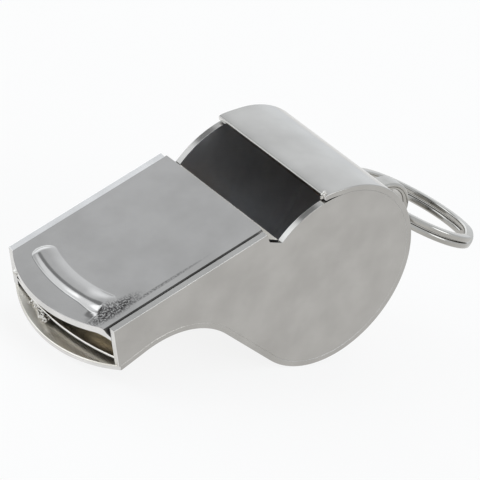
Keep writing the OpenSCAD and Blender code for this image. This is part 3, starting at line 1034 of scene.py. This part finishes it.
# %% [markdown]
# ## The studio
# Polished metal shows little but its surroundings, so the surroundings are the real light here: a
# white floor, and a white tent with brighter soft boxes and darker gaps between them. The floor could
# be plain lit paper, but its tone would change with the tent's. So it is matte paper only to the
# light that falls on it, which gives the whistle its faint shadow, while to the camera and in
# reflections most of it glows evenly, as paper under many lamps does.

# %% Floor
FLOOR_SIZE = 3
FLOOR_GLOW = 0.85
floor_data = bpy.data.meshes.new("studio_floor")
half = FLOOR_SIZE / 2
floor_data.from_pydata([(-half, -half, 0), (half, -half, 0), (half, half, 0), (-half, half, 0)], [],
                       [(0, 1, 2, 3)])
studio_floor = new_object("studio_floor", floor_data)
paper, tree = new_material("white_paper")
seen = add(tree, "ShaderNodeLightPath")
mirrored = add(tree, MATH, [seen.outputs["Is Glossy Ray"], seen.outputs["Is Transmission Ray"]],
               operation="ADD")
direct = add(tree, MATH, [seen.outputs["Is Camera Ray"], mirrored], operation="ADD")
glowing = add(tree, MATH, [direct, FLOOR_GLOW], operation="MULTIPLY")
matte = add(tree, "ShaderNodeBsdfDiffuse", {"Color": linear("#E6E6E4")})
glow = add(tree, "ShaderNodeEmission", {"Color": linear("#FFFFFF"), "Strength": 1.0})
mixed = add(tree, "ShaderNodeMixShader", [glowing, matte, glow])
add(tree, "ShaderNodeOutputMaterial", {"Surface": mixed})
floor_data.materials.append(paper)
studio_floor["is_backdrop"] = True
print("floor of", FLOOR_SIZE, "m in", paper.name)

# %% [markdown]
# ## The tent's soft boxes and gaps
# Lamps would show in the metal as small hard dots, and a picture of a studio can't be read here. A
# world shader can hold a whole light tent instead. Each soft box or gap is a round patch of the sky:
# the dot product of the ray's direction with the patch's middle says how near the ray is, and a
# smooth step turns that into more or less light. A tilted face shows the patch that it mirrors, so
# each patch is there for one form.

# %% Tent
world = bpy.data.worlds.new("light_tent")
bpy.context.scene.world = world
world.use_nodes = True
tree = world.node_tree
tree.nodes.clear()
ray_direction = add(tree, "ShaderNodeTexCoord").outputs["Generated"]


def patch(azimuth, elevation, inner, outer):
    """One inside a round patch of the sky, up to the inner angle, fading to zero at the outer."""
    middle = direction(math.radians(azimuth), math.radians(elevation))
    near = add(tree, "ShaderNodeVectorMath", [ray_direction, middle], operation="DOT_PRODUCT")
    return add(tree, "ShaderNodeMapRange",
               {"Value": near.outputs["Value"], "From Min": math.cos(math.radians(outer)),
                "From Max": math.cos(math.radians(inner))}, interpolation_type="SMOOTHSTEP")


# Each patch has its azimuth and elevation, the angles from its middle where its fade begins and ends,
# and the change that it makes to the tent's level of one.
BEHIND_THE_BARREL = (134, 30, 5, 35, 0.27)
FOR_THE_FAR_EDGE = (170, 18, 12, 30, 0.9)
FOR_THE_RIDGE_FRONT = (-133, 27, 16, 22, 0.6)
GAP_FOR_THE_CREST = (-155, 48, 8, 16, -0.6)
LOW_FOR_THE_NEAR_BEND = (20, 20, 14, 18, 2.4)
GAP_FOR_THE_RIDGE_END = (-65, 44, 19, 23, -0.85)

level = 1.0
for *place, amount in (BEHIND_THE_BARREL, FOR_THE_FAR_EDGE, FOR_THE_RIDGE_FRONT, GAP_FOR_THE_CREST,
                       LOW_FOR_THE_NEAR_BEND, GAP_FOR_THE_RIDGE_END):
    level = add(tree, MATH, [patch(*place), amount, level], operation="MULTIPLY_ADD")

# The key box is what two round patches share, and its sharp edge draws the glint on the ridge.
KEY_WIDE = (-83, 36, 40, 42.5)
KEY_CUT = (-126.6, 43.6, 20, 22)
KEY_GAIN = 1.15
key_box = add(tree, MATH, [patch(*KEY_WIDE), patch(*KEY_CUT)], operation="MULTIPLY")
level = add(tree, MATH, [key_box, KEY_GAIN, level], operation="MULTIPLY_ADD")
tent = add(tree, "ShaderNodeBackground", {"Color": linear("#F6FAFF"), "Strength": level})
white = add(tree, "ShaderNodeBackground", {"Color": linear("#FFFFFF"), "Strength": 1.0})
ray = add(tree, "ShaderNodeLightPath")
shown = add(tree, "ShaderNodeMixShader", [ray.outputs["Is Camera Ray"], tent, white])
add(tree, "ShaderNodeOutputWorld", {"Surface": shown})
print("tent with", sum(node.bl_idname == "ShaderNodeMapRange" for node in tree.nodes), "patches")

# %% Sizes and the end
low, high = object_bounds()
print("visual box in mm:", [round(1000 * v, 2) for v in (*low, *high)])
